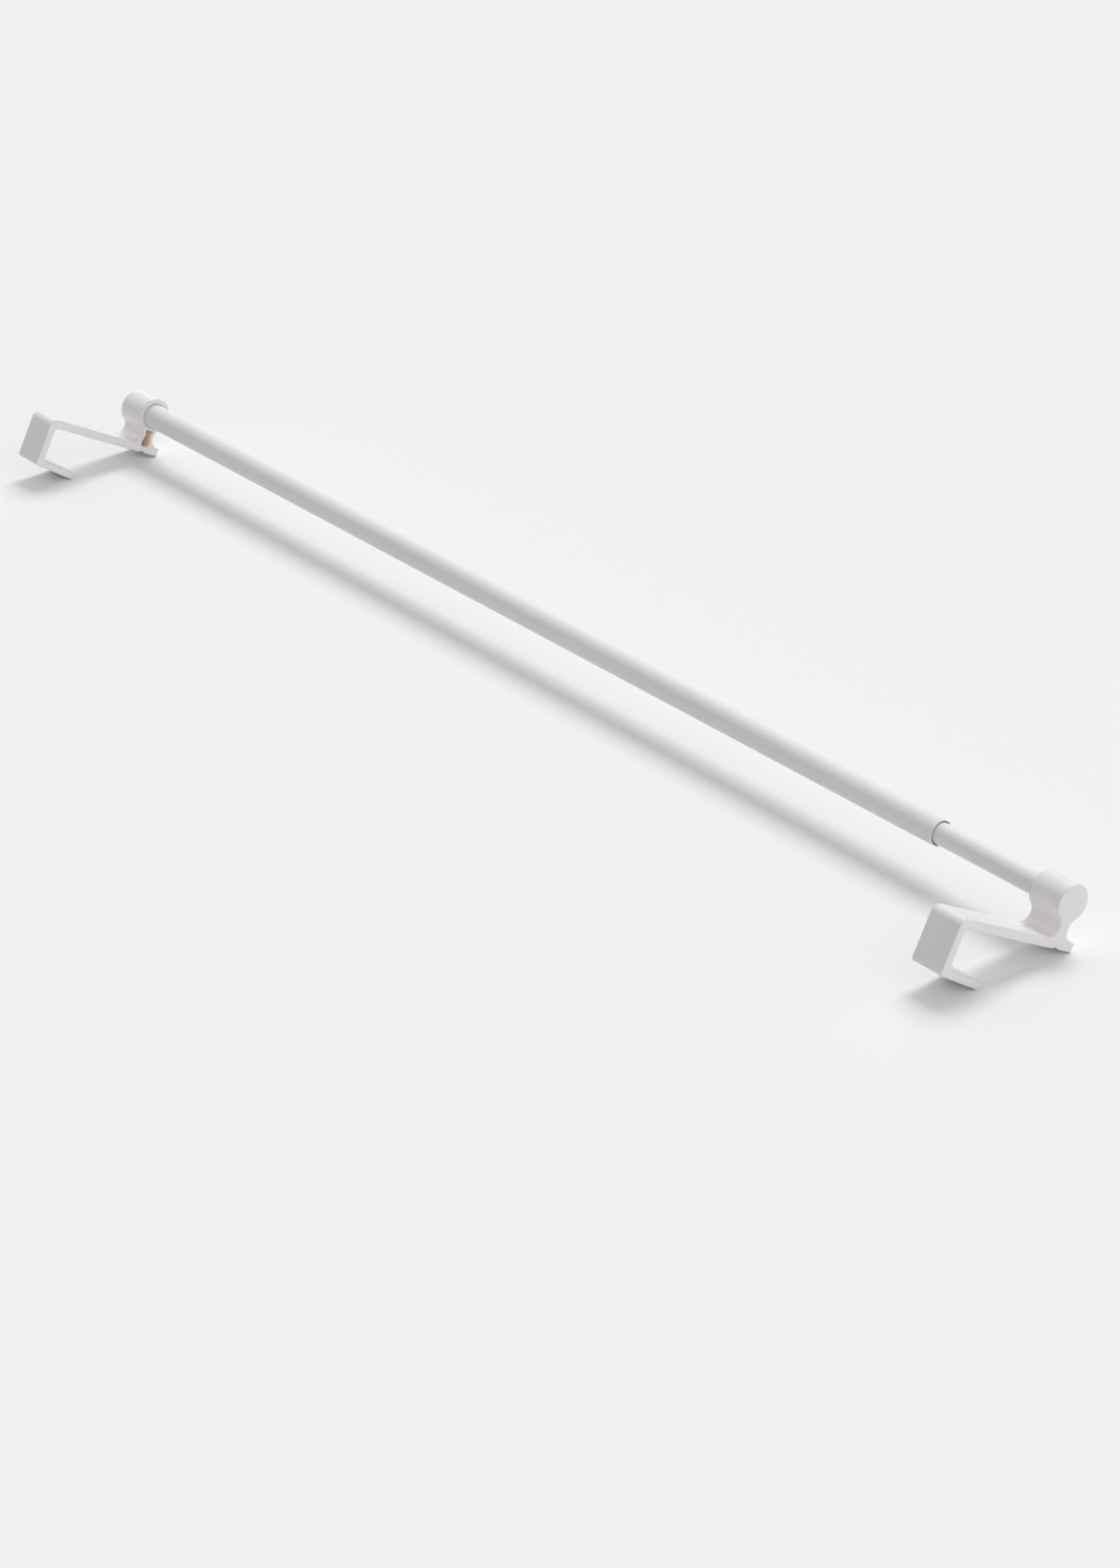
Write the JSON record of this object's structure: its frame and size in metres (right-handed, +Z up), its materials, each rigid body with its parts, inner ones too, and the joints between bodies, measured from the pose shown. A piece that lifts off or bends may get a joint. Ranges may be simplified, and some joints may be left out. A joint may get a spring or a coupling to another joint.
{
  "type": "extendable curtain rod",
  "caption": "White telescopic curtain rod: a thin tube slides out of a wider one, with a moulded hook bracket on each end that hangs over a window sash.",
  "frame": {"origin": "centre of the resting rod's bounding box, on the surface that it lies on", "axes": "+X along the rod towards the thinner tube's bracket, +Z up from the surface, -Y the way the hooks point"},
  "size_m": [0.9182, 0.105, 0.0445],
  "materials": {
    "tube_paint": "satin white powder coat on thin steel tube",
    "bracket_plastic": "fine matt white moulded plastic",
    "guide_plastic": "dark moulded plastic, hidden in the tubes"
  },
  "bodies": {
    "outer_rod": {"outer_tube": "tube_paint", "mouth_guide": "guide_plastic"},
    "outer_hook": {"outer_bracket": "bracket_plastic"},
    "inner_rod": {"inner_tube": "tube_paint", "sliding_plug": "guide_plastic"},
    "inner_hook": {"inner_bracket": "bracket_plastic"}
  },
  "joints": [
    {"name": "rod_extend", "type": "slide", "parent": "outer_rod", "child": "inner_rod", "axis": [1, 0, 0], "range_m": [-0.08, 0.6567]},
    {"name": "outer_bracket_swivel", "type": "hinge", "parent": "outer_rod", "child": "outer_hook", "pos_m": [-0.4476, 0.04075, 0.0294], "axis": [1, 0, 0], "continuous": true},
    {"name": "inner_bracket_swivel", "type": "hinge", "parent": "inner_rod", "child": "inner_hook", "pos_m": [0.4476, 0.04075, 0.0294], "axis": [1, 0, 0], "continuous": true}
  ]
}
